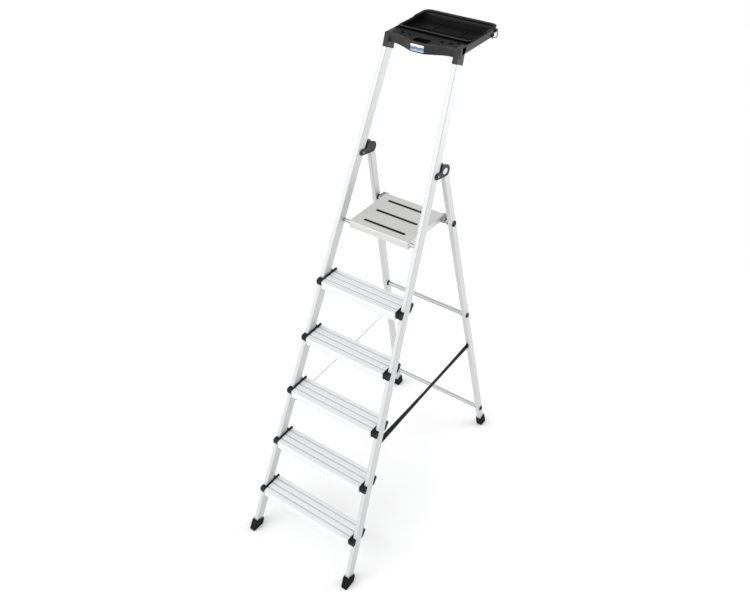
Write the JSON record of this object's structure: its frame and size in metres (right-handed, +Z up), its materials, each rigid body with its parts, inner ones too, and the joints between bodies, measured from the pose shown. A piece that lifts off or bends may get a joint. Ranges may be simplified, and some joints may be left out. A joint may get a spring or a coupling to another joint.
{
  "type": "step ladder",
  "caption": "Free-standing aluminium step ladder with ribbed treads, a folding standing platform, a tool tray with a bucket hook on top, and a braced rear frame.",
  "frame": {"origin": "on the floor, at the middle of the open ladder's footprint", "axes": "+Z up, +Y from the climber towards the rear frame, +X to the climber's right"},
  "size_m": [0.5378, 1.1786, 1.987],
  "materials": {
    "profile_aluminium": "satin mill finish, drawn along the profile",
    "tread_aluminium": "satin, with fine ribs along the tread",
    "bar_aluminium": "satin drawn tube",
    "steel": "zinc-plated",
    "black_plastic": "moulded, fine grain",
    "grey_plastic": "moulded, smooth",
    "rubber": "matte",
    "webbing": "woven polyester tape",
    "label_film": "plain printed film without text"
  },
  "bodies": {
    "front_frame": {"bracket_insert_left": "grey_plastic", "bracket_insert_right": "grey_plastic", "bracket_rivet_left": "steel", "bracket_rivet_right": "steel", "front_foot_left": "rubber", "front_foot_right": "rubber", "front_stile_left": "profile_aluminium", "front_stile_right": "profile_aluminium", "hinge_bracket_left": "black_plastic", "hinge_bracket_right": "black_plastic", "hinge_pin_left": "steel", "hinge_pin_right": "steel", "label": "label_film", "platform_pin_left": "steel", "platform_pin_right": "steel", "strap_anchor_front_left": "black_plastic", "strap_anchor_front_right": "black_plastic", "strap_left": "webbing", "strap_right": "webbing", "tool_tray": "black_plastic", "top_bow": "black_plastic", "tread_1": "tread_aluminium", "tread_2": "tread_aluminium", "tread_3": "tread_aluminium", "tread_4": "tread_aluminium", "tread_5": "tread_aluminium", "tread_cap_1_left": "black_plastic", "tread_cap_1_right": "black_plastic", "tread_cap_2_left": "black_plastic", "tread_cap_2_right": "black_plastic", "tread_cap_3_left": "black_plastic", "tread_cap_3_right": "black_plastic", "tread_cap_4_left": "black_plastic", "tread_cap_4_right": "black_plastic", "tread_cap_5_left": "black_plastic", "tread_cap_5_right": "black_plastic"},
    "rear_frame": {"crossbar_plug_lower_left": "black_plastic", "crossbar_plug_lower_right": "black_plastic", "crossbar_plug_upper_left": "black_plastic", "crossbar_plug_upper_right": "black_plastic", "platform_rod": "bar_aluminium", "platform_rod_plug_left": "black_plastic", "platform_rod_plug_right": "black_plastic", "rear_crossbar_lower": "bar_aluminium", "rear_crossbar_upper": "bar_aluminium", "rear_foot_left": "rubber", "rear_foot_right": "rubber", "rear_leg_left": "profile_aluminium", "rear_leg_right": "profile_aluminium", "strap_anchor_rear_left": "black_plastic", "strap_anchor_rear_right": "black_plastic"},
    "platform": {"anti_slip_strip_1": "rubber", "anti_slip_strip_2": "rubber", "anti_slip_strip_3": "rubber", "platform_hook_left": "black_plastic", "platform_hook_right": "black_plastic", "platform_plate": "profile_aluminium"},
    "bucket_hook": {"bucket_hook": "steel"}
  },
  "joints": [
    {"name": "rear_frame_fold", "type": "hinge", "parent": "front_frame", "child": "rear_frame", "pos_m": [0, 0.21226, 1.56922], "axis": [-1, 0, 0], "range_deg": [0, 35], "deforming": ["strap_left", "strap_right"]},
    {"name": "platform_fold", "type": "hinge", "parent": "front_frame", "child": "platform", "pos_m": [0, 0.03917, 1.328], "axis": [1, 0, 0], "range_deg": [0, 66]},
    {"name": "bucket_hook_swing", "type": "hinge", "parent": "front_frame", "child": "bucket_hook", "pos_m": [0.15684, 0.52467, 1.9685], "axis": [0, -0.8396, -0.5433], "range_deg": [0, 90]}
  ],
  "couplings": [
    {"joint": "platform_fold", "follows": "rear_frame_fold", "ratio": 1.8857}
  ]
}
